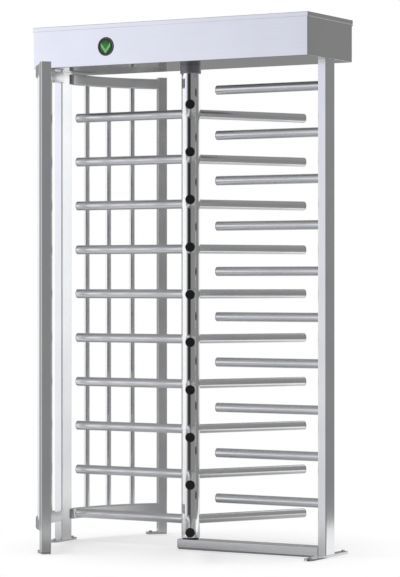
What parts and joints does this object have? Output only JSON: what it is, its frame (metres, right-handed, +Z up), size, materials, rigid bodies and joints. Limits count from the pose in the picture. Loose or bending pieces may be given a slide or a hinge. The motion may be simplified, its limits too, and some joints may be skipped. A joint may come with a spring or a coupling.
{
  "type": "full height turnstile",
  "caption": "Full height turnstile: a winged rotor turns between a comb of fixed arms and a curved barred cage, under a header box with its lock and damper.",
  "frame": {"origin": "on the floor, on the rotor's axis", "axes": "+Z up along the rotor's axis, +X along the header to the comb side, +Y to the back"},
  "size_m": [1.372, 1.0308, 2.283],
  "materials": {
    "satin_steel": "satin stainless steel",
    "polished_steel": "polished stainless steel",
    "header_steel": "light matt stainless sheet",
    "collar_steel": "dull steel",
    "zinc_steel": "zinc-plated",
    "gear_steel": "machined",
    "spring_steel": "drawn wire",
    "black_plastic": "black moulded",
    "green_lens": "green lit lens",
    "board_green": "circuit board",
    "cast_aluminium": "cast"
  },
  "bodies": {
    "frame": {"comb_post": "satin_steel", "left_post": "satin_steel", "front_cage_post": "satin_steel", "rear_cage_post": "satin_steel", "front_cage_panel": "satin_steel", "rear_cage_panel": "satin_steel", "base_beam": "satin_steel", "floor_bearing": "black_plastic", "bearing_collar": "collar_steel", "header_housing": "header_steel", "front_indicator": "green_lens", "rear_indicator": "green_lens", "control_board": "board_green", "power_supply": "cast_aluminium", "mechanism_plate": "zinc_steel", "upper_bearing": "cast_aluminium", "rotary_damper": "cast_aluminium", "left_pawl_spring": "spring_steel", "right_pawl_spring": "spring_steel", "left_magnet": "black_plastic", "right_magnet": "black_plastic"},
    "rotor": {"rotor_column": "polished_steel", "head_shaft": "gear_steel", "lock_wheel": "gear_steel", "damper_gear": "gear_steel", "front_wing_arm_01": "satin_steel", "front_wing_arm_02": "satin_steel", "front_wing_arm_03": "satin_steel", "front_wing_arm_04": "satin_steel", "front_wing_arm_05": "satin_steel", "front_wing_arm_06": "satin_steel", "front_wing_arm_07": "satin_steel", "front_wing_arm_08": "satin_steel", "front_wing_arm_09": "satin_steel", "front_wing_arm_10": "satin_steel", "rear_wing_arm_01": "satin_steel", "rear_wing_arm_02": "satin_steel", "rear_wing_arm_03": "satin_steel", "rear_wing_arm_04": "satin_steel", "rear_wing_arm_05": "satin_steel", "rear_wing_arm_06": "satin_steel", "rear_wing_arm_07": "satin_steel", "rear_wing_arm_08": "satin_steel", "rear_wing_arm_09": "satin_steel", "rear_wing_arm_10": "satin_steel", "left_wing_arm_01": "satin_steel", "left_wing_arm_02": "satin_steel", "left_wing_arm_03": "satin_steel", "left_wing_arm_04": "satin_steel", "left_wing_arm_05": "satin_steel", "left_wing_arm_06": "satin_steel", "left_wing_arm_07": "satin_steel", "left_wing_arm_08": "satin_steel", "left_wing_arm_09": "satin_steel", "left_wing_arm_10": "satin_steel"},
    "pinion": {"damper_pinion": "gear_steel"},
    "lid": {"header_lid": "header_steel"},
    "key": {"key_lock": "zinc_steel"},
    "left_pawl": {"left_pawl": "zinc_steel"},
    "right_pawl": {"right_pawl": "zinc_steel"}
  },
  "joints": [
    {"name": "rotor_spin", "type": "hinge", "parent": "frame", "child": "rotor", "pos_m": [0, 0, 0], "axis": [0, 0, 1], "continuous": true},
    {"name": "damper_pinion_spin", "type": "hinge", "parent": "frame", "child": "pinion", "pos_m": [0, 0.1125, 0], "axis": [0, 0, 1], "continuous": true},
    {"name": "lid_hinge", "type": "hinge", "parent": "frame", "child": "lid", "pos_m": [0, 0.207, 2.2607], "axis": [-1, 0, 0], "range_deg": [0, 100]},
    {"name": "key_turn", "type": "hinge", "parent": "frame", "child": "key", "pos_m": [-0.208, -0.146, 0], "axis": [0, 0, 1], "range_deg": [0, 90]},
    {"name": "right_pawl_swing", "type": "hinge", "parent": "frame", "child": "right_pawl", "pos_m": [0.121, -0.09, 0], "axis": [0, 0, 1], "range_deg": [0, 8.5], "stiffness_Nm_per_rad": 0.4},
    {"name": "left_pawl_swing", "type": "hinge", "parent": "frame", "child": "left_pawl", "pos_m": [-0.121, -0.09, 0], "axis": [0, 0, -1], "range_deg": [0, 8.5], "stiffness_Nm_per_rad": 0.4}
  ],
  "couplings": [
    {"joint": "damper_pinion_spin", "follows": "rotor_spin", "ratio": -2}
  ]
}
